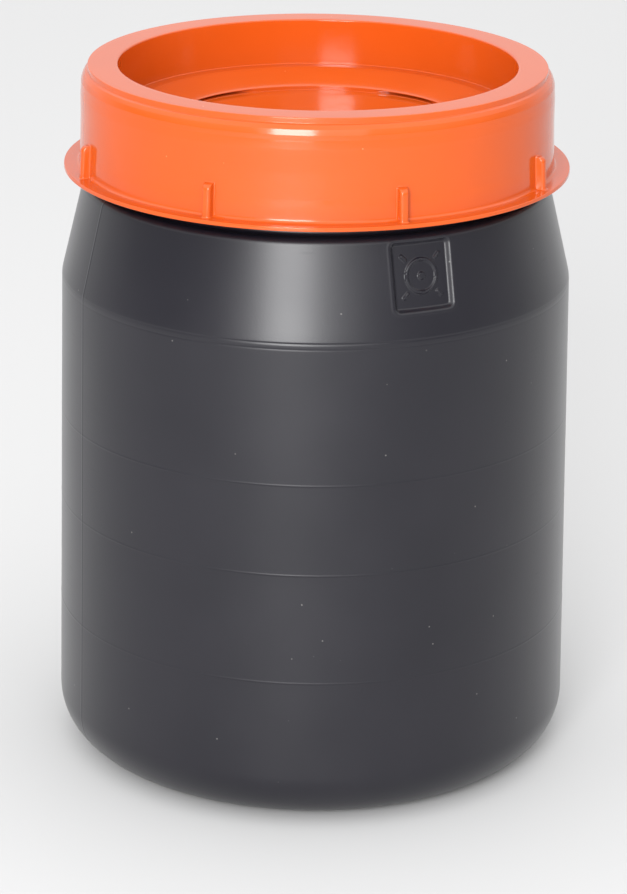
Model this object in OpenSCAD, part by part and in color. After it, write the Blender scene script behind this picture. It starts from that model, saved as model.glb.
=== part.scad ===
// Screw-top storage canister: a blow-moulded wide-neck drum, a recessed screw lid
// with grip ribs, and the flat ring seal between them.
// Origin at the centre of the base, +Z up, all sizes in millimetres.

/* [Canister] */
// Height from the base to the top of the screwed-down lid
overall_h = 308.4; // [300:0.2:320]
// Outer radius at the top of the side wall, where the shoulder starts
side_top_r = 111; // [108:0.5:112]
// How much wider the side wall is at the base than at its top, in radius
side_flare = 3.3; // [0:0.1:5]
// Height of the shoulder line above the base
shoulder_z = 216.7; // [214:0.1:218]
// Radius of the blend between the side wall and the shoulder
shoulder_blend_r = 12; // [8:1:20]
// Radius of the rounded corner between the side wall and the base
base_corner_r = 23; // [16:1:26]
// Wall thickness
wall_t = 3.4; // [3:0.1:4]
// Height of the hollow under the base
base_dish_h = 5; // [3:0.5:8]

/* [Neck] */
// Outer radius of the shoulder's upper edge
shoulder_top_r = 101; // [100.5:0.1:102]
// Height of the shoulder's upper edge
shoulder_top_z = 258.3; // [257:0.1:259]
// Outer radius of the neck between its threads
neck_r = 95.6; // [95.2:0.1:96]
// Outer radius of the neck thread
neck_thread_r = 98.5; // [98:0.1:98.8]
// Distance from the neck rim up to the top of the lid
rim_below_top = 6.4; // [6:0.1:7]

/* [Thread] */
// Rise of the thread in one turn
thread_lead = 12; // [11:0.5:12]
// Turns of thread on the neck
neck_turns = 1.75; // [1.25:0.25:1.75]
// Turns of thread in the lid
lid_turns = 1.5; // [1:0.25:1.5]
// Width of a thread at its root
thread_root_w = 4.4; // [4:0.1:4.6]
// Width of a thread at its crest
thread_crest_w = 2.2; // [1.8:0.1:2.4]
// Free space along the axis between the loaded thread flanks
flank_gap = 0.5; // [0.4:0.05:0.8]

/* [Lid] */
// Outer radius of the lid's skirt
skirt_r = 102.1; // [102:0.1:102.6]
// How much wider the skirt is at its foot than higher up, in radius
skirt_flare = 0.8; // [0.4:0.1:1.2]
// Inner radius of the lid's skirt between its threads
skirt_inner_r = 99.5; // [99.3:0.1:99.8]
// Inner radius of the lid's thread
lid_thread_r = 96.4; // [96.2:0.1:96.8]
// Distance from the lid's top down to the bottom of its flange
lid_h = 44.7; // [44:0.1:45]
// Outer radius of the lid's top ring
top_ring_r = 98.8; // [98:0.1:99.4]
// Outer radius of the flange round the bottom of the skirt
flange_r = 109.6; // [108:0.1:110.6]
// Thickness of the flange
flange_t = 1.7; // [1.6:0.1:2.4]
// Wall thickness of the lid
lid_t = 3.3; // [3:0.1:3.5]

/* [Lid recess] */
// Radius of the recess wall
recess_r = 86; // [85:0.1:86.2]
// Depth of the flat ledge at the foot of the recess wall
ledge_depth = 20.4; // [19:0.2:21]
// Radius at which the ledge turns down into the slope
ledge_inner_r = 80; // [78:0.5:82]
// Radius of the centre disc
disc_r = 63.5; // [58:0.5:66]
// Depth of the slope's foot
slope_depth = 25.4; // [23:0.2:26]
// Height of the small step from the slope's foot down to the centre disc
disc_step = 1.8; // [1:0.1:2.5]

/* [Grip ribs] */
// Number of grip ribs round the skirt
rib_count = 8; // [6:1:12]
// Angle of the first rib from +X
first_rib_angle = -70.2; // [-90:0.1:-60]
// Width of a rib
rib_w = 3.8; // [3:0.1:5]
// How far a rib stands out from the skirt
rib_out = 3.9; // [3:0.1:5]
// Height of a rib above the flange
rib_h = 14; // [10:0.2:18]

/* [Seal] */
// Thickness of the ring seal
seal_t = 2.8; // [2.6:0.1:3]
// Free space round the ring seal in its channel
seal_side_gap = 0.4; // [0.3:0.1:0.8]
// Free space over and under the ring seal
seal_face_gap = 0.05; // [0.05:0.01:0.1]

/* [Moulded panel] */
// Width of the sunk panel on the shoulder
panel_w = 28; // [24:0.5:29]
// Height of the sunk panel along the shoulder's slope
panel_l = 30; // [24:0.5:30]
// Angle of the panel from +X
panel_angle = -65.1; // [-80:0.1:-50]
// Depth of the panel at its middle
panel_depth = 1.9; // [1.6:0.1:2]
// Height that the marks stand up from the panel's floor
mark_h = 0.6; // [0.4:0.1:0.8]

/* [Hidden] */
body_colour = [0.20, 0.20, 0.22];
lid_colour = [1.0, 0.38, 0.13];
seal_colour = [0.10, 0.10, 0.10];
round_fn = 180;

// Shoulder and neck
rim_z = overall_h - rim_below_top;
neck_inner_r = neck_r - 3;
side_lean = atan(side_flare / shoulder_z);
shoulder_slope = atan((side_top_r - shoulder_top_r) / (shoulder_top_z - shoulder_z));
blend_bisector = (side_lean + shoulder_slope) / 2;
blend_reach = shoulder_blend_r / cos((shoulder_slope - side_lean) / 2);
blend_centre_r = side_top_r - blend_reach * cos(blend_bisector);
blend_centre_z = shoulder_z - blend_reach * sin(blend_bisector);
blend_start_z = blend_centre_z + shoulder_blend_r * sin(side_lean);
blend_end_z = blend_centre_z + shoulder_blend_r * sin(shoulder_slope);
shoulder_wall = wall_t / cos(shoulder_slope);
neck_foot_fillet = 3;
foot_ring_in = 72;

// Fine rings that the mould leaves on the side wall
seam_heights = [66.8, 115.4, 155.1];
seam_h = 0.25;
seam_w = 0.9;

// Two fine sunk grooves at the shoulder line
groove_heights = [214.0, 216.4];
groove_h = -0.3;
groove_w = 0.9;

// Threads
thread_root_sink = 0.8;
thread_steps = 48;
thread_end_steps = 3;
neck_thread_z = rim_z - 29;
thread_pitch_line = (thread_root_w + thread_crest_w) / 2 + flank_gap;

// Lid
lid_bottom_z = overall_h - lid_h;
flange_top_z = lid_bottom_z + flange_t;
ledge_z = overall_h - ledge_depth;
slope_z = overall_h - slope_depth;
disc_z = slope_z - disc_step;
plug_r = recess_r + lid_t;
channel_z = rim_z + seal_t + 2 * seal_face_gap;
step_z = overall_h - 4.8;
skirt_lead_in = 1.2;
skirt_foot_r = skirt_r + skirt_flare;
flare_z = flange_top_z + 6;

// Moulded panel
panel_z = 241.7;
panel_corner_r = 3;
panel_surface_r = shoulder_top_r + (shoulder_top_z - panel_z) * tan(shoulder_slope);

// Points of an arc round [cx, cy] from angle a0 to a1
function arc(cx, cy, r, a0, a1, n = 6) =
    [for (i = [0 : n]) let (a = a0 + (a1 - a0) * i / n) [cx + r * cos(a), cy + r * sin(a)]];

// Outer radius of the side wall at height z
function side_r(z) = side_top_r + side_flare * (shoulder_z - z) / shoulder_z;

// Outer radius of the shoulder, from its blend upwards, at height z
function shoulder_r(z) = z < blend_end_z
    ? blend_centre_r + sqrt(pow(shoulder_blend_r, 2) - pow(z - blend_centre_z, 2))
    : shoulder_top_r + (shoulder_top_z - z) * tan(shoulder_slope);

// Outer radius of the drum below its neck at height z
function drum_r(z) = z < blend_start_z ? side_r(z) : shoulder_r(z);

// Small ring on the drum, triangular in section: raised where h > 0 and sunk where h < 0
function ring_mark(z, w, h) = [
    [drum_r(z - w / 2), z - w / 2],
    [drum_r(z) + h, z],
    [drum_r(z + w / 2), z + w / 2]
];

// One cross-section of a thread: inner and outer radius with the width at each
function thread_section(a, z, ri, wi, ro, wo) = [
    [ri * cos(a), ri * sin(a), z - wi / 2],
    [ro * cos(a), ro * sin(a), z - wo / 2],
    [ro * cos(a), ro * sin(a), z + wo / 2],
    [ri * cos(a), ri * sin(a), z + wi / 2]
];

// Share of the full thread height at step i of n, ramped at both ends
function thread_ramp(i, n) = min(1, i / thread_end_steps, (n - i) / thread_end_steps);

// A helical thread that rises anticlockwise. It stands outwards when crest_r > root_r.
module helical_thread(root_r, crest_r, z0, turns) {
    n = round(turns * thread_steps);
    outward = crest_r > root_r;
    sunk_r = outward ? root_r - thread_root_sink : root_r + thread_root_sink;
    pts = [for (i = [0 : n])
        let (a = 360 * turns * i / n, z = z0 + thread_lead * a / 360,
             tip_r = sunk_r + (crest_r - sunk_r) * thread_ramp(i, n))
        each outward
            ? thread_section(a, z, sunk_r, thread_root_w, tip_r + 0.01, thread_crest_w)
            : thread_section(a, z, tip_r - 0.01, thread_crest_w, sunk_r, thread_root_w)];
    sides = [for (i = [0 : n - 1], j = [0 : 3])
        let (a = 4 * i + j, b = 4 * i + (j + 1) % 4)
        each [[a, b, b + 4], [a, b + 4, a + 4]]];
    first_cap = [[3, 2, 1], [3, 1, 0]];
    last_cap = [[4 * n, 4 * n + 1, 4 * n + 2], [4 * n, 4 * n + 2, 4 * n + 3]];
    polyhedron(points = pts, faces = concat(sides, first_cap, last_cap));
}

// Rectangle with rounded corners, centred
module rounded_rectangle(w, l, r) {
    square([w, l - 2 * r], center = true);
    square([w - 2 * r, l], center = true);
    for (x = [-1, 1], y = [-1, 1])
        translate([x * (w / 2 - r), y * (l / 2 - r)]) circle(r, $fn = 32);
}

// Places children on the shoulder's slope, with +Z along its outward normal
module on_shoulder() {
    rotate([0, 0, panel_angle])
        translate([panel_surface_r, 0, panel_z])
            rotate([0, 90 - shoulder_slope, 0])
                rotate([0, 0, 90]) children();
}

// Generic moulding mark: a ring with a centre dot and four short bars
module panel_marks() {
    difference() {
        circle(7.5, $fn = 64);
        circle(6.2, $fn = 64);
    }
    circle(1.6, $fn = 32);
    for (a = [45 : 90 : 315])
        rotate([0, 0, a]) translate([11, 0]) square([3.4, 1.3], center = true);
}

// Half-section of the blow-moulded drum, outside then inside
function drum_profile() = concat(
    [[0, base_dish_h], [foot_ring_in - 12, base_dish_h], [foot_ring_in, 0]],
    arc(side_r(base_corner_r) - base_corner_r, base_corner_r, base_corner_r, -90, 0, 10),
    [for (z = seam_heights) each ring_mark(z, seam_w, seam_h)],
    [for (z = groove_heights) each ring_mark(z, groove_w, groove_h)],
    [[drum_r(blend_end_z), blend_end_z]],
    arc(shoulder_top_r - 1.2, shoulder_top_z - 1.2, 1.2, shoulder_slope, 90, 4),
    arc(neck_r + neck_foot_fillet, shoulder_top_z + neck_foot_fillet, neck_foot_fillet, 270, 180, 5),
    arc(neck_r - 1, rim_z - 1, 1, 0, 90, 4),
    arc(neck_inner_r + 0.8, rim_z - 0.8, 0.8, 90, 180, 4),
    [
        [neck_inner_r, shoulder_top_z],
        [shoulder_top_r - 1.4 - shoulder_wall, shoulder_top_z - wall_t],
        [side_top_r - shoulder_wall, shoulder_z - 0.5]
    ],
    arc(side_r(base_corner_r) - base_corner_r, base_corner_r, base_corner_r - wall_t, 0, -90, 8),
    [
        [foot_ring_in + 1, wall_t],
        [foot_ring_in - 11, base_dish_h + wall_t],
        [0, base_dish_h + wall_t]
    ]
);

// Half-section of the lid, from the centre of its disc outwards and back underneath
function lid_profile() = concat(
    [[0, disc_z], [disc_r, disc_z], [disc_r, slope_z], [ledge_inner_r, ledge_z]],
    arc(recess_r - 2, ledge_z + 2, 2, -90, 0, 4),
    arc(recess_r + 2.5, overall_h - 2.5, 2.5, 180, 90, 5),
    arc(top_ring_r - 1.2, overall_h - 1.2, 1.2, 90, 0, 4),
    [[top_ring_r + 0.2, step_z + 1.8]],
    arc(skirt_r - 1.7, step_z - 1.2, 1.5, 80, 0, 4),
    [
        [skirt_r - 0.6, step_z - 1.9],
        [skirt_r, step_z - 2.9],
        [skirt_r - 0.1, step_z - 4.6],
        [skirt_r, step_z - 6],
        [skirt_r + 0.1, flare_z + 7],
        [skirt_foot_r, flare_z]
    ],
    arc(skirt_foot_r + 0.8, flange_top_z + 0.8, 0.8, 180, 270, 4),
    arc(flange_r - 0.8, flange_top_z - 0.8, 0.8, 90, 0, 3),
    arc(flange_r - 0.8, lid_bottom_z + 0.8, 0.8, 0, -90, 3),
    [
        [skirt_inner_r + skirt_lead_in, lid_bottom_z],
        [skirt_inner_r, lid_bottom_z + skirt_lead_in],
        [skirt_inner_r, channel_z],
        [plug_r, channel_z],
        [plug_r, ledge_z + 1],
        [plug_r - 3, ledge_z - lid_t],
        [ledge_inner_r + 1.6, ledge_z - lid_t],
        [disc_r + 1.6, disc_z - lid_t],
        [0, disc_z - lid_t]
    ]
);

// The drum: one blow-moulded shell with its neck thread and sunk panel
module canister_body() {
    color(body_colour) {
        difference() {
            rotate_extrude($fn = round_fn) polygon(drum_profile());
            on_shoulder()
                translate([0, 0, -panel_depth])
                    linear_extrude(panel_depth + 4)
                        rounded_rectangle(panel_w, panel_l, panel_corner_r);
        }
        on_shoulder()
            translate([0, 0, -panel_depth - 0.3])
                linear_extrude(mark_h + 0.3) panel_marks();
        helical_thread(neck_r, neck_thread_r, neck_thread_z, neck_turns);
    }
}

// One grip rib: rounded at its top, standing on the flange
module grip_rib() {
    round_r = 3;
    depth = rib_out + 1.5;
    translate([skirt_r - 1.5, rib_w / 2, flange_top_z - 0.5])
        rotate([90, 0, 0])
            linear_extrude(rib_w) {
                square([depth, rib_h + 0.5 - round_r]);
                square([depth - round_r, rib_h + 0.5]);
                translate([depth - round_r, rib_h + 0.5 - round_r]) circle(round_r, $fn = 48);
            }
}

// The lid: top ring, recess, skirt with its thread, flange and grip ribs
module screw_lid() {
    color(lid_colour) {
        rotate_extrude($fn = round_fn) polygon(lid_profile());
        for (i = [0 : rib_count - 1])
            rotate([0, 0, first_rib_angle + i * 360 / rib_count]) grip_rib();
        helical_thread(skirt_inner_r, lid_thread_r,
                       neck_thread_z - thread_pitch_line, lid_turns);
    }
}

// The flat ring seal that lies between the neck rim and the lid
module lid_seal() {
    color(seal_colour)
        translate([0, 0, rim_z + seal_face_gap])
            difference() {
                cylinder(h = seal_t, r = skirt_inner_r - seal_side_gap, $fn = round_fn);
                translate([0, 0, -1])
                    cylinder(h = seal_t + 2, r = plug_r + seal_side_gap, $fn = round_fn);
            }
}

canister_body();
screw_lid();
lid_seal();
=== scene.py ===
import math

import bpy
import numpy as np
from mathutils import Matrix, Vector, noise


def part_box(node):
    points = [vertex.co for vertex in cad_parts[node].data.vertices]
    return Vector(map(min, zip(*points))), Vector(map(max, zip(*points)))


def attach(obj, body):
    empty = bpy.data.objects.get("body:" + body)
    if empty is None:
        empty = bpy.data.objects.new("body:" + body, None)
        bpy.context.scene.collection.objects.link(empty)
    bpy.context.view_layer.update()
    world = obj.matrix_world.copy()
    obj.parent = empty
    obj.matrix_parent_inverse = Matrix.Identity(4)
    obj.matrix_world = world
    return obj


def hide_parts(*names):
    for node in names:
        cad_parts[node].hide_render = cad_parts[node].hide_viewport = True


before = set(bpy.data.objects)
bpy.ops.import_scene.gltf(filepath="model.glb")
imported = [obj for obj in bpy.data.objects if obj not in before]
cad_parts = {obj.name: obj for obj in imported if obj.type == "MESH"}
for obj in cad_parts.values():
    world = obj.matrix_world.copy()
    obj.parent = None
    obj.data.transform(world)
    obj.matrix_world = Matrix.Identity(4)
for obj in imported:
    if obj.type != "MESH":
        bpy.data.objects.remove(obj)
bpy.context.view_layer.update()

# Lengths are in millimetres and angles in degrees from +X, unless a comment says otherwise.
# The origin is the centre of the base, as in the CAD part.
MM = 0.001


def cad_corners(node):
    """Lowest and highest corner of a CAD node, in millimetres."""
    low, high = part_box(node)
    return low / MM, high / MM


body_high = cad_corners("canister_body")[1]
lid_low, lid_high = cad_corners("screw_lid")
seal_low, seal_high = cad_corners("lid_seal")

# Drum
BASE_Z = 0.0
RIM_Z = body_high.z
SHOULDER_Z = 216.7
SHOULDER_R = 111.0
BASE_R = 114.3
BASE_CORNER_R = 23.0
CONE_TOP_Z = 258.3
CONE_TOP_R = 101.0
NECK_R = 95.6
NECK_INNER_R = 92.6
RIM_MIDDLE_R = 94.0
WALL = 3.4
SHOULDER_BEND = 12

# Hollow under the drum, inside its standing ring
DISH_H = 5.0
DISH_R = 58
DISH_FILLET = 8
STANDING_R = 71

# Mould lines, grooves and parting lines on the drum
SEAM_HEIGHTS = (66.8, 115.4, 155.1)
SEAM_RISE = 0.08
SEAM_SPREAD = 0.38
SEAM_LEAST, SEAM_VARIATION = 0.2, 1.3
GROOVE_HEIGHTS = (214.0, 216.4)
GROOVE_DEPTH = 0.22
GROOVE_SPREAD = 0.42
GROOVE_SIDE_SHARE, GROOVE_FRONT_SHARE = 0.35, 1.15
GROOVE_FRONT_SPREAD = 27
PARTING_ANGLES = (-153.0, 27.0)
PARTING_RISE = 0.09
PARTING_SPREAD = 0.45
PARTING_START_Z, PARTING_FULL_Z = 3, 12
FRONT_ANGLE = -90
SWELL_DEPTH = 0.04
SWELL_LENGTH = 45

# Sunk panel on the shoulder
PANEL_ANGLE = -65.1
PANEL_Z = 241.7
PANEL_W = 28.0
PANEL_L = 30.0
PANEL_DEPTH = 1.9
PANEL_CORNER_R = 3.0
PANEL_WALL_W = 2.2
PANEL_MARGIN = 2
MARK_RISE = 0.75

# Lid
LID_TOP_Z = lid_high.z
LID_T = 3.3
RECESS_R = 86.0
LEDGE_Z = LID_TOP_Z - 20.4
LEDGE_INNER_R = 80.0
SLOPE_FOOT_Z = LID_TOP_Z - 25.4
DISC_Z = SLOPE_FOOT_Z - 1.8
DISC_R = 63.5
CHANNEL_Z = seal_high.z + 0.05
PLUG_R = RECESS_R + LID_T

# Flange, and the skirt that flares slightly towards it
FLANGE_BOTTOM_Z = lid_low.z
FLANGE_R = lid_high.x
FLANGE_T = 1.7
FLANGE_TOP_Z = FLANGE_BOTTOM_Z + FLANGE_T
SKIRT_R = 102.1
SKIRT_INNER_R = 99.5
STRAIGHT_Z = 286
FLARE_Z = 275
FLARE_R = SKIRT_R + 0.3
BEND_Z = 272.4
BEND_R = SKIRT_R + 0.5
SKIRT_FOOT_R = 102.9
SKIRT_FOOT_Z = 266.2

# Stepped rim, from the top ring out to the skirt: radius, depth under the top, rounding
RIM_CORNERS = (
    (99.0, 0, 0.4),
    (99.03, 2.4, 0.3),
    (100.1, 2.95, 0.4),
    (101.05, 4.45, 0.8),
    (101.78, 6.7, 0.8),
    (101.84, 8.9, 0.8),
    (101.885, 9.35, 0.5),
    (SKIRT_R, 12.5, 8),
)

# Shallow gaps under the slope's foot, left and right of the recess's back
GAP_LEVELS = (DISC_Z + 0.35, DISC_Z + 0.7, DISC_Z + 1.05)
GAP_ANGLES = (50.5, 133)
GAP_HALF_ANGLE = 12.5
GAP_DEPTH = 3.2

# Wrinkled band near the skirt's foot
RIPPLE_Z = 273.7
RIPPLE_SPREAD = 1.6
RIPPLE_RISE = 0.08
RIPPLE_LENGTH = 1.2

# Grip ribs
RIB_COUNT = 8
FIRST_RIB_ANGLE = -70.2
RIB_W = 3.8
RIB_OUT = 3.9
RIB_H = 14.0
RIB_EDGE_R = 1.35
RIB_FILLET = 0.8
RIB_TOP_R = 2.4

# Threads
THREAD_LEAD = 12.0
NECK_THREAD_R = 98.5
LID_THREAD_R = 96.4
NECK_THREAD_Z = RIM_Z - 29
LID_THREAD_DROP = 3.8
NECK_TURNS = 1.75
LID_TURNS = 1.5

# Camera, in metres: in front of the object and above it
CAMERA_PLACE = (0, -1.432, 0.639)
CAMERA_DOWN = 19.46
CAMERA_ROLL = 0.69
CAMERA_LENS = 136.8
CAMERA_SENSOR = 36

# Stage, in metres
FLOOR_HALF = 30.0
LIGHT_TARGET = (0, 0, 0.15)


# ---------------------------------------------------------------- outlines and meshes

def smoothstep(low, high, x):
    """Smooth rise from 0 to 1 between low and high."""
    t = np.clip((x - low) / (high - low), 0, 1)
    return t * t * (3 - 2 * t)


def bell(x, spread):
    """Bell curve of height 1 round x = 0."""
    return np.exp(-(x / spread) ** 2)


def on_circle(angle, radius, third):
    """A point for the noise functions, so that they join up all the way round."""
    a = math.radians(angle)
    return Vector((radius * math.cos(a), radius * math.sin(a), third))


def rounded_outline(corners, step=8.0):
    """Outline through (r, z, radius) corners, each rounded by its radius in steps of `step` degrees."""
    points = []
    for i, (r, z, radius) in enumerate(corners):
        here = Vector((r, z))
        if radius == 0 or i in (0, len(corners) - 1):
            points.append(here)
            continue
        back = (Vector(corners[i - 1][:2]) - here).normalized()
        ahead = (Vector(corners[i + 1][:2]) - here).normalized()
        half = back.angle(ahead) / 2
        centre = here + (back + ahead).normalized() * (radius / math.sin(half))
        start = here + back * (radius / math.tan(half)) - centre
        end = here + ahead * (radius / math.tan(half)) - centre
        turn = math.atan2(start.x * end.y - start.y * end.x, start.dot(end))
        count = max(2, round(abs(math.degrees(turn)) / step))
        for k in range(count + 1):
            a = turn * k / count
            points.append(centre + Vector((start.x * math.cos(a) - start.y * math.sin(a),
                                           start.x * math.sin(a) + start.y * math.cos(a))))
    return points


def filled(outline, longest):
    """The outline with points added so that none of its steps is longer than `longest`."""
    points = [outline[0]]
    for a, b in zip(outline, outline[1:]):
        count = max(1, math.ceil((b - a).length / longest))
        points += [a.lerp(b, k / count) for k in range(1, count + 1)]
    return points


def with_rows(outline, heights):
    """The rising outline with a point added at each of the heights."""
    apart = 0.01
    points = [outline[0]]
    for a, b in zip(outline, outline[1:]):
        if b.y > a.y:
            between = sorted(z for z in heights if a.y + apart < z < b.y - apart)
            points += [a.lerp(b, (z - a.y) / (b.y - a.y)) for z in between]
        points.append(b)
    return points


def mesh_object(name, points, faces, material, sharp=40.0):
    """Object from points in millimetres, smooth except where faces meet at more than `sharp` degrees."""
    mesh = bpy.data.meshes.new(name)
    mesh.from_pydata([tuple(p) for p in np.asarray(points, float) * MM], [], faces)
    mesh.validate()
    mesh.materials.append(material)
    mesh.shade_smooth()
    mesh.set_sharp_from_angle(angle=math.radians(sharp))
    obj = bpy.data.objects.new(name, mesh)
    bpy.context.scene.collection.objects.link(obj)
    return obj


def lathe(name, outline, azimuths, material, relief=None):
    """Closed surface of revolution. The outline starts and ends on the axis, or is a loop.
    relief(azimuths, r, z, row) gives how far each point moves outwards along the outline's normal."""
    on_axis = 1e-6
    r = np.array([p.x for p in outline])
    z = np.array([p.y for p in outline])
    tangent_r, tangent_z = np.gradient(r), np.gradient(z)
    length = np.hypot(tangent_r, tangent_z)
    normal_r, normal_z = tangent_z / length, -tangent_r / length
    points, rings = [], []
    columns = len(azimuths)
    cos, sin = np.cos(np.radians(azimuths)), np.sin(np.radians(azimuths))
    for i in range(len(outline)):
        first = len(points)
        if r[i] < on_axis:
            points.append((0.0, 0.0, z[i]))
            rings.append([first] * columns)
            continue
        out = relief(azimuths, r[i], z[i], i) if relief else np.zeros(columns)
        radius = r[i] + out * normal_r[i]
        points += list(zip(radius * cos, radius * sin, z[i] + out * normal_z[i]))
        rings.append(list(range(first, first + columns)))
    if r[0] > on_axis:
        rings.append(rings[0])
    faces = []
    for low, high in zip(rings, rings[1:]):
        for c in range(columns):
            d = (c + 1) % columns
            face = tuple(dict.fromkeys((low[c], low[d], high[d], high[c])))
            if len(face) > 2:
                faces.append(face)
    return mesh_object(name, points, faces, material)


def thread(name, root_r, crest_r, z0, turns, material):
    """Helical ridge that fades at both ends. It stands outwards when crest_r > root_r."""
    side = 1 if crest_r > root_r else -1
    height = abs(crest_r - root_r)
    sunk = 0.8
    steps_a_turn = 120
    run_out = 9
    end_share = 0.15
    # Half of the ridge's cross-section: how far out from its root, and how far along the axis
    upper_half = [(-sunk, 2.2), (0, 2.2), (0.55, 1.75), (height - 0.5, 1.25), (height - 0.12, 0.95),
                  (height, 0.6)]
    section = [(out, -along) for out, along in upper_half] + upper_half[::-1]
    steps = round(turns * steps_a_turn)
    points, faces = [], []
    for i in range(steps + 1):
        a = 2 * math.pi * turns * i / steps
        fade = float(smoothstep(0, run_out, min(i, steps - i)))
        for out, along in section:
            radius = root_r + side * (-sunk + (out + sunk) * (end_share + (1 - end_share) * fade))
            points.append((radius * math.cos(a), radius * math.sin(a),
                           z0 + THREAD_LEAD * turns * i / steps + along))
    m = len(section)
    for i in range(steps):
        for j in range(m):
            k = (j + 1) % m
            face = (i * m + j, i * m + k, (i + 1) * m + k, (i + 1) * m + j)
            faces.append(face[::-1] if side > 0 else face)
    first = tuple(range(m))
    last = tuple(steps * m + j for j in range(m))
    faces += [first, last[::-1]] if side > 0 else [first[::-1], last]
    return mesh_object(name, points, faces, material, sharp=50)


# ---------------------------------------------------------------- materials

def texture(tree, kind, coordinates, stretch=(1, 1, 1), **settings):
    """A texture node on object coordinates, stretched by a mapping node."""
    mapping = tree.nodes.new("ShaderNodeMapping")
    mapping.inputs["Scale"].default_value = stretch
    tree.links.new(coordinates, mapping.inputs["Vector"])
    node = tree.nodes.new(kind)
    for name, value in settings.items():
        node.inputs[name].default_value = value
    tree.links.new(mapping.outputs["Vector"], node.inputs["Vector"])
    return node


def ranged(tree, value, low, high, out_low=0, out_high=1):
    """Maps a value from one range to another, and clamps it."""
    node = tree.nodes.new("ShaderNodeMapRange")
    for name, number in (("From Min", low), ("From Max", high), ("To Min", out_low), ("To Max", out_high)):
        node.inputs[name].default_value = number
    tree.links.new(value, node.inputs["Value"])
    return node.outputs["Result"]


def maths(tree, operation, a, b):
    """Result of a maths node. Each of a and b may be a number or a socket."""
    node = tree.nodes.new("ShaderNodeMath")
    node.operation = operation
    for socket, value in zip(node.inputs, (a, b)):
        if isinstance(value, (int, float)):
            socket.default_value = value
        else:
            tree.links.new(value, socket)
    return node.outputs[0]


def mixed(tree, factor, a, b):
    """Colour mix by a factor. Either colour may be a tuple or a socket."""
    node = tree.nodes.new("ShaderNodeMix")
    node.data_type = "RGBA"
    tree.links.new(factor, node.inputs["Factor"])
    # The node has sockets of the same names for numbers and vectors, so its colour sockets go by place
    colour_a, colour_b, colour_out = node.inputs[6], node.inputs[7], node.outputs[2]
    for socket, value in ((colour_a, a), (colour_b, b)):
        if isinstance(value, tuple):
            socket.default_value = (*value, 1)
        else:
            tree.links.new(value, socket)
    return colour_out


def moulded_plastic(name, colour, tone, dust, roughness, grain, grain_scale, speck_size, specular=0.5,
                    coat=0.0, coat_roughness=0.16, coat_ior=1.5, waviness=0.0, scuffs=0.10):
    """Moulded plastic: a broad drift of tone, fine grain, light scuffs and specks of dust.
    colour and tone are the two ends of the drift, roughness its low and high value, and grain, waviness
    and the specks' height are in millimetres."""
    speck_height = 0.04
    material = bpy.data.materials.new(name)
    material.use_nodes = True
    tree = material.node_tree
    shader = tree.nodes["Principled BSDF"]
    place = tree.nodes.new("ShaderNodeTexCoord").outputs["Object"]

    broad = texture(tree, "ShaderNodeTexNoise", place, Scale=18, Detail=2, Roughness=0.5)
    fine = texture(tree, "ShaderNodeTexNoise", place, Scale=grain_scale, Detail=2, Roughness=0.6)
    scuff = texture(tree, "ShaderNodeTexNoise", place, (1, 1, 9), Scale=60, Detail=6, Roughness=0.75)
    cells = texture(tree, "ShaderNodeTexVoronoi", place, Scale=160, Randomness=1)

    tone_mask = ranged(tree, broad.outputs["Fac"], low=0.35, high=0.65)
    speck_gate = ranged(tree, cells.outputs["Color"], low=0.72, high=0.74)
    speck_shape = ranged(tree, cells.outputs["Distance"], speck_size * 0.5, speck_size, 1, 0)
    speck_mask = maths(tree, "MULTIPLY", speck_gate, speck_shape)
    toned = mixed(tree, tone_mask, colour, tone)
    tree.links.new(mixed(tree, speck_mask, toned, dust), shader.inputs["Base Color"])

    scuff_mask = ranged(tree, scuff.outputs["Fac"], low=0.60, high=0.78)
    smooth = ranged(tree, broad.outputs["Fac"], 0.3, 0.7, *roughness)
    gloss = maths(tree, "ADD", smooth, maths(tree, "MULTIPLY", scuff_mask, scuffs))
    tree.links.new(gloss, shader.inputs["Roughness"])

    height = maths(tree, "ADD", maths(tree, "MULTIPLY", fine.outputs["Fac"], grain),
                   maths(tree, "MULTIPLY", speck_mask, speck_height))
    if waviness:
        swell = texture(tree, "ShaderNodeTexNoise", place, Scale=45, Detail=1, Roughness=0.4)
        height = maths(tree, "ADD", height, maths(tree, "MULTIPLY", swell.outputs["Fac"], waviness))
    bump = tree.nodes.new("ShaderNodeBump")
    bump.inputs["Strength"].default_value = 1.0
    bump.inputs["Distance"].default_value = MM
    tree.links.new(height, bump.inputs["Height"])
    tree.links.new(bump.outputs["Normal"], shader.inputs["Normal"])
    tree.links.new(bump.outputs["Normal"], shader.inputs["Coat Normal"])
    shader.inputs["IOR"].default_value = 1.5
    shader.inputs["Specular IOR Level"].default_value = specular
    shader.inputs["Coat Weight"].default_value = coat
    shader.inputs["Coat Roughness"].default_value = coat_roughness
    shader.inputs["Coat IOR"].default_value = coat_ior
    return material


def floor_material():
    """Plain pale floor of one even tone."""
    material = bpy.data.materials.new("pale_floor")
    material.use_nodes = True
    shader = material.node_tree.nodes["Principled BSDF"]
    shader.inputs["Base Color"].default_value = (0.52, 0.52, 0.522, 1)
    shader.inputs["Roughness"].default_value = 0.7
    shader.inputs["Specular IOR Level"].default_value = 0.2
    return material


# ---------------------------------------------------------------- drum

def wave(azimuths, seed):
    """Slow random variation round the drum, from 0 to 1."""
    scale = 1.4
    shift = Vector((seed, 0, 0))
    return np.array([0.5 + 0.5 * noise.noise(on_circle(a, scale, seed) + shift) for a in azimuths])


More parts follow.
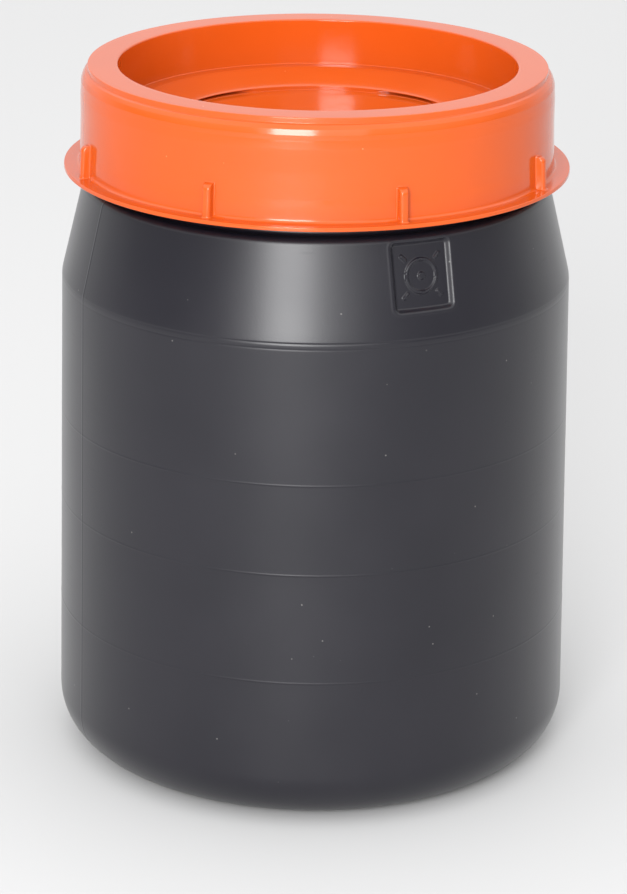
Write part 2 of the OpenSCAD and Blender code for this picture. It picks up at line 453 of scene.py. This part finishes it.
def panel_marks(u, v):
    """Height share of the raised marks on the panel's floor: a ring, a centre dot and four short bars."""
    soft = 0.25
    line_half_w = 0.65
    ring_r, dot_r = 6.85, 1.6
    bar_place, bar_half_l = 11, 1.7

    def inside(limit, distance):
        return smoothstep(limit + soft, limit - soft, distance)

    distance = np.hypot(u, v)
    along = (np.abs(u) + np.abs(v)) / math.sqrt(2)
    across = np.abs(np.abs(u) - np.abs(v)) / math.sqrt(2)
    ring = inside(line_half_w, np.abs(distance - ring_r))
    dot = inside(dot_r, distance)
    bars = inside(bar_half_l, np.abs(along - bar_place)) * inside(line_half_w, across)
    return np.maximum(np.maximum(ring, dot), bars)


def panel_relief(u, v):
    """How far the sunk panel's surface lies from the shoulder: sloped walls, rounded corners and a lip."""
    lip_rise, lip_place, lip_spread = 0.10, 0.5, 0.5
    dx = np.abs(u) - (PANEL_W / 2 - PANEL_CORNER_R)
    dy = np.abs(v) - (PANEL_L / 2 - PANEL_CORNER_R)
    outside = np.hypot(np.maximum(dx, 0), np.maximum(dy, 0))
    edge = outside + np.minimum(np.maximum(dx, dy), 0) - PANEL_CORNER_R
    sunk = smoothstep(0.0, PANEL_WALL_W, -edge)
    lip = lip_rise * bell(edge - lip_place, lip_spread)
    return -PANEL_DEPTH * sunk + MARK_RISE * panel_marks(u, v) * (edge < -PANEL_WALL_W) + lip


def drum_columns():
    """Azimuths of the drum's columns: even all round, and closer at the panel and the parting lines."""
    shoulder_middle_r = 105
    even, panel_step, line_step = 1.5, 0.17, 0.16
    panel_half = math.degrees((PANEL_W / 2 + PANEL_MARGIN) / shoulder_middle_r)
    panel = np.arange(PANEL_ANGLE - panel_half, PANEL_ANGLE + panel_half, panel_step)
    columns = [a for a in np.arange(-180, 180, even) if abs(a - PANEL_ANGLE) > panel_half + 0.5]
    for line in PARTING_ANGLES:
        columns = [a for a in columns if abs(a - line) > 1.0]
        columns += [line + k * line_step for k in range(-6, 7)]
    return np.array(sorted([*columns, *panel]))


def drum_shell(material):
    """The blow-moulded drum: inner wall, mould lines, shoulder grooves, parting lines and sunk panel."""
    detail_heights = (*SEAM_HEIGHTS, *GROOVE_HEIGHTS)
    fine_step, panel_step = 0.15, 0.3
    outer = rounded_outline([
        (0, DISH_H, 0), (DISH_R, DISH_H, DISH_FILLET), (STANDING_R, BASE_Z, 4),
        (BASE_R, BASE_Z, BASE_CORNER_R), (SHOULDER_R, SHOULDER_Z, SHOULDER_BEND),
        (CONE_TOP_R, CONE_TOP_Z, 3.6), (NECK_R, CONE_TOP_Z, 1.8), (NECK_R, RIM_Z, 1),
        (RIM_MIDDLE_R, RIM_Z, 0)], step=4)
    inner = rounded_outline([
        (RIM_MIDDLE_R, RIM_Z, 0), (NECK_INNER_R, RIM_Z, 0.8), (NECK_INNER_R, CONE_TOP_Z, 3),
        (CONE_TOP_R - WALL - 1.2, CONE_TOP_Z - WALL, 4),
        (SHOULDER_R - WALL - 0.1, SHOULDER_Z - 0.5, SHOULDER_BEND),
        (BASE_R - WALL, WALL, BASE_CORNER_R - WALL), (STANDING_R + 1, WALL, 4),
        (DISH_R, DISH_H + WALL, DISH_FILLET), (0, DISH_H + WALL, 0)])
    fine_rows = [z + k * fine_step for z in detail_heights for k in range(-7, 8)]
    panel_rows = list(np.arange(PANEL_Z - PANEL_L / 2 - 1.5, PANEL_Z + PANEL_L / 2 + 1.2, panel_step))
    outer = filled(with_rows(outer, fine_rows + panel_rows), 5)
    inner = filled(inner, 8)[1:]
    columns = drum_columns()
    variation = {z: wave(columns, 3.1 * k + 1) for k, z in enumerate(detail_heights)}
    slope = math.atan2(SHOULDER_R - CONE_TOP_R, CONE_TOP_Z - SHOULDER_Z)
    in_front = bell(columns - FRONT_ANGLE, GROOVE_FRONT_SPREAD)
    groove_share = GROOVE_SIDE_SHARE + GROOVE_FRONT_SHARE * in_front

    def relief(azimuths, r, z, row):
        out = np.zeros(len(azimuths))
        if row >= len(outer):
            return out
        for height in SEAM_HEIGHTS:
            share = SEAM_LEAST + SEAM_VARIATION * variation[height]
            out += SEAM_RISE * bell(z - height, SEAM_SPREAD) * share
        if r > CONE_TOP_R:
            for height in GROOVE_HEIGHTS:
                out -= GROOVE_DEPTH * bell(z - height, GROOVE_SPREAD) * variation[height] * groove_share
        for line in PARTING_ANGLES:
            across = np.radians(azimuths - line) * r
            share = smoothstep(PARTING_START_Z, PARTING_FULL_Z, z) * (r > DISH_R + 2)
            out += PARTING_RISE * bell(across, PARTING_SPREAD) * share
        v = (z - PANEL_Z) / math.cos(slope)
        if SHOULDER_Z < z < CONE_TOP_Z and abs(v) < PANEL_L / 2 + PANEL_MARGIN and r > NECK_R + 1:
            u = np.radians(azimuths - PANEL_ANGLE) * r
            out += panel_relief(u, np.full_like(u, v)) * (np.abs(u) < PANEL_W / 2 + PANEL_MARGIN)
        swell = [noise.noise(on_circle(a, 2.6, z / SWELL_LENGTH)) for a in azimuths]
        return out - SWELL_DEPTH * (1 + np.array(swell))

    return lathe("drum_shell", outer + inner, columns, material, relief)


def base_pinch_weld(material):
    """The weld that closes the drum's bottom: a low rounded ridge under the dish, on the parting line."""
    length, width, height = 86.0, 1.8, 0.9
    end_width, end_height = 0.3, 0.15
    rows, section = 60, 12
    points, faces = [], []
    for i in range(rows + 1):
        x = -length / 2 + length * i / rows
        fade = math.sqrt(max(0.0, 1 - (2 * i / rows - 1) ** 8))
        wobble = 0.12 * noise.noise(Vector((x / 9, 0, 4)))
        for j in range(section):
            a = 2 * math.pi * j / section
            out = width / 2 * math.cos(a) * (end_width + (1 - end_width) * fade)
            down = height * math.sin(a) * (end_height + (1 - end_height) * fade)
            points.append((x, out + wobble, DISH_H + 0.1 - down))
    for i in range(rows):
        for j in range(section):
            k = (j + 1) % section
            faces.append((i * section + j, i * section + k, (i + 1) * section + k, (i + 1) * section + j))
    faces += [tuple(range(section))[::-1], tuple(rows * section + j for j in range(section))]
    turn = math.radians(PARTING_ANGLES[1])
    turned = [(x * math.cos(turn) - y * math.sin(turn), x * math.sin(turn) + y * math.cos(turn), z)
              for x, y, z in points]
    return mesh_object("base_pinch_weld", turned, faces, material)


# ---------------------------------------------------------------- lid and seal

def lid_shell(material):
    """The lid: centre disc, slope, ledge, recess wall, top ring, stepped rim, skirt, flange, underside."""
    rim = [(r, LID_TOP_Z - depth, radius) for r, depth, radius in RIM_CORNERS]
    # The stub that the moulding's gate leaves, under the middle of the disc
    gate_r, gate_h = 2.6, 0.5
    outline = rounded_outline([
        (0, DISC_Z, 0), (DISC_R, DISC_Z, 0.2), *((DISC_R, z, 0) for z in GAP_LEVELS),
        (DISC_R, SLOPE_FOOT_Z, 0.4), (LEDGE_INNER_R, LEDGE_Z, 1.2), (RECESS_R, LEDGE_Z, 0.3),
        (RECESS_R, LID_TOP_Z, 0.7), *rim,
        (SKIRT_R, STRAIGHT_Z, 40), (FLARE_R, FLARE_Z, 12), (BEND_R, BEND_Z, 12),
        (SKIRT_FOOT_R, FLANGE_TOP_Z, 1.5), (FLANGE_R - 0.12, FLANGE_TOP_Z, 0.3),
        (FLANGE_R, FLANGE_BOTTOM_Z + 0.25, 0.2), (FLANGE_R - 0.3, FLANGE_BOTTOM_Z, 0.15),
        (SKIRT_INNER_R + 1.2, FLANGE_BOTTOM_Z, 0.4), (SKIRT_INNER_R, FLANGE_BOTTOM_Z + 1.2, 0.5),
        (SKIRT_INNER_R, CHANNEL_Z, 0.6), (PLUG_R, CHANNEL_Z, 0.6), (PLUG_R, LEDGE_Z - 0.6, 1),
        (PLUG_R - 2.5, LEDGE_Z - LID_T, 1.2), (LEDGE_INNER_R + 1.2, LEDGE_Z - LID_T, 2),
        (DISC_R + 1.6, DISC_Z - LID_T, 2), (gate_r + 0.6, DISC_Z - LID_T, 0.3),
        (gate_r, DISC_Z - LID_T - gate_h, 0.2), (0, DISC_Z - LID_T - gate_h, 0)], step=7.5)
    outline = filled(outline, 2.5)

    negligible = 0.02

    def relief(azimuths, r, z, row):
        if r == DISC_R and GAP_LEVELS[0] - 0.05 < z < GAP_LEVELS[-1] + 0.05:
            gaps = [np.exp(-(np.abs(azimuths - middle) / GAP_HALF_ANGLE) ** 4) for middle in GAP_ANGLES]
            return GAP_DEPTH * np.maximum(*gaps)
        near = bell(z - RIPPLE_Z, RIPPLE_SPREAD) * (r > SKIRT_R)
        if near < negligible:
            return np.zeros(len(azimuths))
        ripple = [noise.noise(on_circle(a, 80, z / RIPPLE_LENGTH)) for a in azimuths]
        return RIPPLE_RISE * near * np.array(ripple)

    return lathe("lid_shell", outline, np.arange(0, 360, 0.6), material, relief)


def skirt_radius(z):
    """Outer radius of the skirt beside the ribs."""
    heights = (SKIRT_FOOT_Z, BEND_Z, FLARE_Z, STRAIGHT_Z)
    return float(np.interp(z, heights, (SKIRT_FOOT_R, BEND_R, FLARE_R, SKIRT_R)))


def grip_rib(name, angle, material):
    """One grip rib with rounded edges and a fillet round its foot. It is sunk a little into the skirt and
    flange. Each row is a height, how far the rib stands out there, and how much its foot widens."""
    half, edge, fillet, round_top = RIB_W / 2, RIB_EDGE_R, RIB_FILLET, RIB_TOP_R
    sunk, root_depth, flange_depth, lift = 0.06, 1.2, 0.4, 0.05
    top_z = FLANGE_TOP_Z + RIB_H
    arc = [math.radians(a) for a in range(0, 91, 15)]
    side = [(half - edge + edge * math.sin(a), RIB_OUT - edge + edge * math.cos(a)) for a in arc]
    side += [(half + fillet - fillet * math.cos(a), fillet - fillet * math.sin(a)) for a in arc]
    section = [(-u, h) for u, h in side[::-1]] + side
    rows = [(FLANGE_TOP_Z - flange_depth, RIB_OUT + fillet, fillet)]
    rows += [(FLANGE_TOP_Z + fillet - fillet * math.cos(a), RIB_OUT + fillet - fillet * math.sin(a),
              fillet - fillet * math.sin(a)) for a in arc]
    rows += [(top_z - round_top - 0.6, RIB_OUT, 0)]
    rows += [(top_z - round_top + round_top * math.sin(a), RIB_OUT - round_top + round_top * math.cos(a), 0)
             for a in arc[:-1]]
    rows += [(top_z, RIB_OUT - round_top, 0), (top_z + lift, fillet, 0)]
    rows += [(top_z + lift + fillet * (1 - math.cos(a)), fillet * (1 - math.sin(a)), 0) for a in arc[1:]]
    turn = Matrix.Rotation(math.radians(angle), 3, "Z")
    front, back = [], []
    for z, reach, widen in rows:
        for u, height in section:
            across = u * (1 + widen / (half + fillet))
            surface = math.sqrt(skirt_radius(z) ** 2 - across ** 2) - sunk
            front.append(turn @ Vector((surface + height * reach / RIB_OUT, across, z)))
            back.append(turn @ Vector((surface - root_depth, across, z)))
    n, m = len(section), len(rows)
    faces = []
    for i in range(m - 1):
        for j in range(n - 1):
            a, b, c, d = i * n + j, i * n + j + 1, (i + 1) * n + j + 1, (i + 1) * n + j
            faces += [(a, b, c, d), (n * m + d, n * m + c, n * m + b, n * m + a)]
    border = [*range(n), *(i * n + n - 1 for i in range(1, m))]
    border += [*((m - 1) * n + j for j in range(n - 2, -1, -1)), *(i * n for i in range(m - 2, 0, -1))]
    for a, b in zip(border, border[1:] + border[:1]):
        faces.append((b, a, n * m + a, n * m + b))
    return mesh_object(name, front + back, faces, material, sharp=60)


def seal_ring(material):
    """Flat rubber ring with rounded edges, in the lid's channel."""
    inner_r, outer_r = PLUG_R + 0.4, seal_high.x
    middle = (inner_r + outer_r) / 2
    loop = rounded_outline([
        (middle, seal_low.z, 0), (outer_r, seal_low.z, 0.5), (outer_r, seal_high.z, 0.5),
        (inner_r, seal_high.z, 0.5), (inner_r, seal_low.z, 0.5), (middle, seal_low.z, 0)], step=15)
    return lathe("seal_ring", filled(loop[:-1], 2), np.arange(0, 360, 1.5), material)


# ---------------------------------------------------------------- stage

def camera():
    """Camera in front of the object, above it and level but for a slight roll."""
    data = bpy.data.cameras.new("camera")
    data.sensor_fit = "AUTO"
    data.sensor_width = CAMERA_SENSOR
    data.lens = CAMERA_LENS
    obj = bpy.data.objects.new("camera", data)
    bpy.context.scene.collection.objects.link(obj)
    down, roll = math.radians(CAMERA_DOWN), math.radians(CAMERA_ROLL)
    obj.matrix_world = (Matrix.Translation(CAMERA_PLACE) @ Matrix.Rotation(math.pi / 2 - down, 4, "X")
                        @ Matrix.Rotation(roll, 4, "Z"))
    bpy.context.scene.camera = obj


def soft_box(name, azimuth, elevation, distance, width, height, power):
    """Rectangular area light aimed at the object, in metres and watts. Azimuth 0 is in front, 90 right."""
    data = bpy.data.lights.new(name, "AREA")
    data.shape = "RECTANGLE"
    data.size, data.size_y = width, height
    data.energy = power
    obj = bpy.data.objects.new(name, data)
    bpy.context.scene.collection.objects.link(obj)
    a, e = math.radians(azimuth), math.radians(elevation)
    back = Vector((math.sin(a) * math.cos(e), -math.cos(a) * math.cos(e), math.sin(e)))
    obj.location = Vector(LIGHT_TARGET) + back * distance
    obj.rotation_mode = "QUATERNION"
    obj.rotation_quaternion = (-back).to_track_quat("-Z", "Y")
    obj.visible_camera = False


def studio_world():
    """Surroundings: a bright backdrop behind the object, a brighter ceiling, and dim elsewhere."""
    dim = 0.24
    world = bpy.data.worlds.new("studio")
    bpy.context.scene.world = world
    world.use_nodes = True
    tree = world.node_tree
    direction = tree.nodes.new("ShaderNodeSeparateXYZ")
    tree.links.new(tree.nodes.new("ShaderNodeTexCoord").outputs["Generated"], direction.inputs["Vector"])
    backdrop = ranged(tree, direction.outputs["Y"], low=0.1, high=0.7, out_high=0.70)
    ceiling = ranged(tree, direction.outputs["Z"], low=0.14, high=0.62, out_high=1.45)
    level = maths(tree, "ADD", maths(tree, "MAXIMUM", backdrop, ceiling), dim)
    background = tree.nodes["Background"]
    background.inputs["Color"].default_value = (1, 1, 1, 1)
    tree.links.new(level, background.inputs["Strength"])


def floor_plane():
    """Flat floor at the base's height, wide enough to fill every view."""
    low, high = -FLOOR_HALF, FLOOR_HALF
    mesh = bpy.data.meshes.new("floor")
    mesh.from_pydata([(low, low, 0), (high, low, 0), (high, high, 0), (low, high, 0)], [], [(0, 1, 2, 3)])
    mesh.materials.append(floor_material())
    floor = bpy.data.objects.new("floor", mesh)
    bpy.context.scene.collection.objects.link(floor)


def studio():
    """Light, surroundings and floor round the object."""
    studio_world()
    soft_box("key", azimuth=-11.5, elevation=16.8, distance=2.6, width=0.85, height=1.5, power=73)
    soft_box("fill", azimuth=-2, elevation=21, distance=2.7, width=2.4, height=1.8, power=17)
    scene = bpy.context.scene
    scene.view_settings.view_transform = "Standard"
    scene.view_settings.look = "None"
    floor_plane()


camera()
studio()

drum_plastic = moulded_plastic(
    "drum_plastic", colour=(0.0056, 0.0052, 0.0092), tone=(0.0078, 0.0072, 0.0116),
    dust=(0.11, 0.107, 0.104), roughness=(0.37, 0.42), grain=0.018, grain_scale=1300,
    speck_size=0.07, specular=0.35, coat=0.62, coat_roughness=0.28, coat_ior=1.3)
lid_plastic = moulded_plastic(
    "lid_plastic", colour=(0.51, 0.072, 0.0065), tone=(0.535, 0.078, 0.0075),
    dust=(0.85, 0.28, 0.12), roughness=(0.11, 0.15), grain=0.0012, grain_scale=900,
    speck_size=0.05, specular=0.44, waviness=0.015, scuffs=0.05)
seal_rubber = moulded_plastic(
    "seal_rubber", colour=(0.018, 0.018, 0.018), tone=(0.03, 0.03, 0.03),
    dust=(0.10, 0.10, 0.09), roughness=(0.6, 0.75), grain=0.02, grain_scale=2000, speck_size=0.08)

drum = drum_shell(drum_plastic)
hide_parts("canister_body")
pinch_weld = base_pinch_weld(drum_plastic)
neck_thread = thread("neck_thread", NECK_R, NECK_THREAD_R, NECK_THREAD_Z, NECK_TURNS, drum_plastic)
for piece in (drum, pinch_weld, neck_thread):
    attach(piece, "canister")

lid = lid_shell(lid_plastic)
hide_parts("screw_lid")
lid_thread = thread("lid_thread", SKIRT_INNER_R, LID_THREAD_R, NECK_THREAD_Z - LID_THREAD_DROP,
                    LID_TURNS, lid_plastic)
ribs = [grip_rib(f"grip_rib_{i + 1}", FIRST_RIB_ANGLE + i * 360 / RIB_COUNT, lid_plastic)
        for i in range(RIB_COUNT)]
for piece in (lid, lid_thread, *ribs):
    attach(piece, "lid")

seal = seal_ring(seal_rubber)
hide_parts("lid_seal")
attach(seal, "seal")
